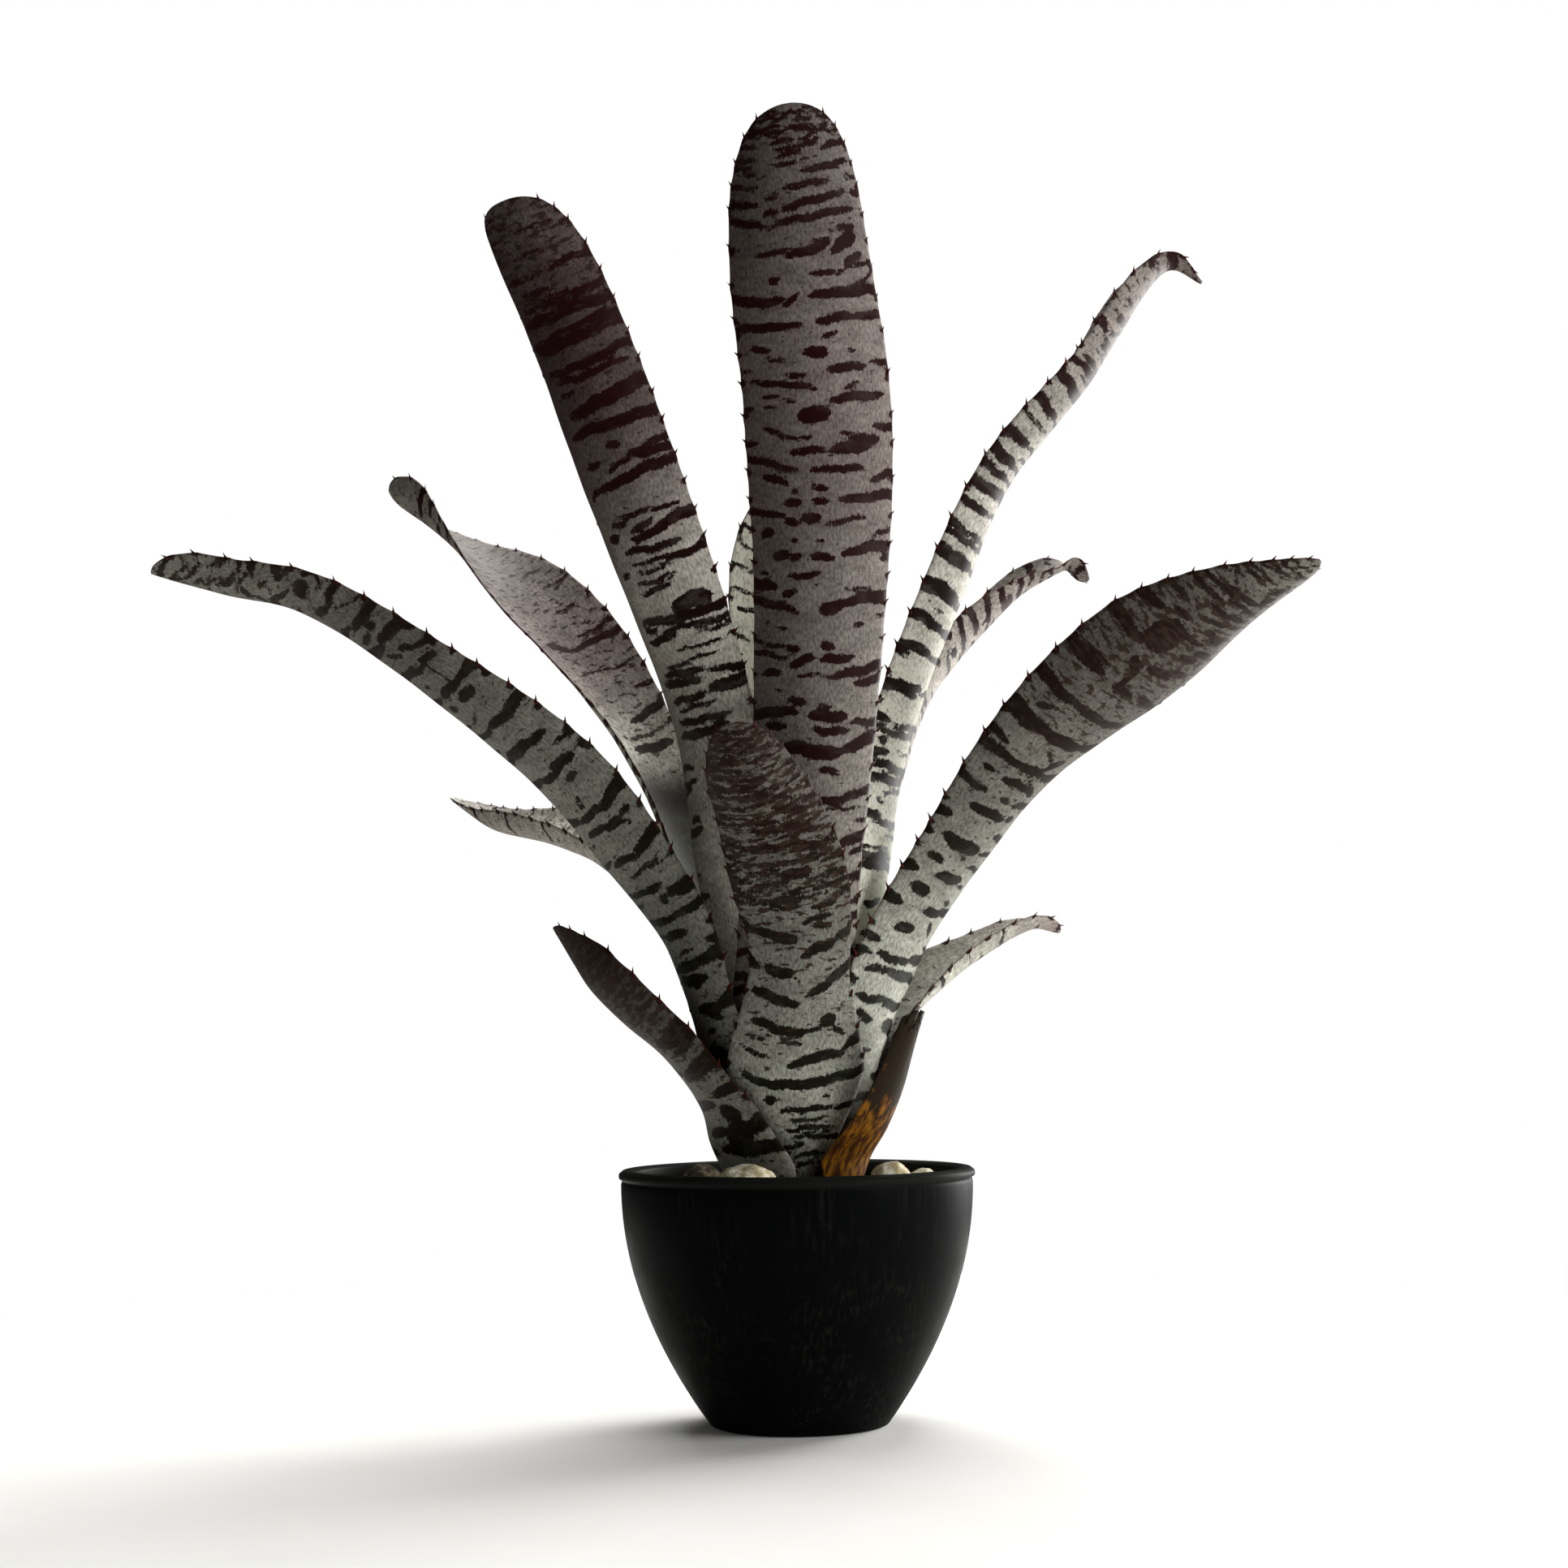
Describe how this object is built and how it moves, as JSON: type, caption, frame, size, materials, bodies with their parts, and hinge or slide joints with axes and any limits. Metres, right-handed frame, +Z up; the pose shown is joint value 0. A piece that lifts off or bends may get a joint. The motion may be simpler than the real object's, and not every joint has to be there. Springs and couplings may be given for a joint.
{
  "type": "potted zebra bromeliad",
  "caption": "Tall bromeliad with broad channelled leaves, spiny margins and dark cross bands, nested in a rosette and potted in a round tapered nursery pot with stones on the soil.",
  "frame": {"origin": "centre of the pot's flat underside, on the surface it stands on", "axes": "+Z up along the pot's axis, -Y towards the front that the picture shows, +X to its right"},
  "size_m": [0.5013, 0.3011, 0.5702],
  "materials": {
    "pot": "satin black moulded plastic with faint vertical streaks",
    "soil": "dark crumbly bark and peat mix",
    "stem": "dry fibrous stem",
    "leaf": "stiff leaf with matt silver scurf and dark cross bands",
    "dark_leaf": "stiff dark brown leaf with little scurf",
    "dead_leaf": "dry amber and dark brown leaf base",
    "cream_stone": "worn cream pebble",
    "brown_stone": "worn brown pebble"
  },
  "bodies": {
    "root": {"pot": "pot", "soil": "soil", "stem": "stem", "leaf_centre_tall": "leaf", "leaf_left_tall": "leaf", "leaf_right_tall": "leaf", "leaf_left_arching": "leaf", "leaf_right_arching": "leaf", "leaf_front_short": "leaf", "leaf_left_back": "leaf", "leaf_left_back_low": "leaf", "leaf_left_low": "dark_leaf", "leaf_right_back": "leaf", "leaf_right_back_low": "leaf", "leaf_back": "leaf", "leaf_heart": "leaf", "leaf_dead_stub": "dead_leaf", "stone_1": "cream_stone", "stone_2": "brown_stone", "stone_3": "cream_stone", "stone_4": "cream_stone", "stone_5": "brown_stone", "stone_6": "cream_stone", "stone_7": "cream_stone", "stone_8": "cream_stone", "stone_9": "cream_stone", "stone_10": "cream_stone", "stone_11": "cream_stone", "stone_12": "cream_stone", "stone_13": "brown_stone"}
  },
  "joints": []
}
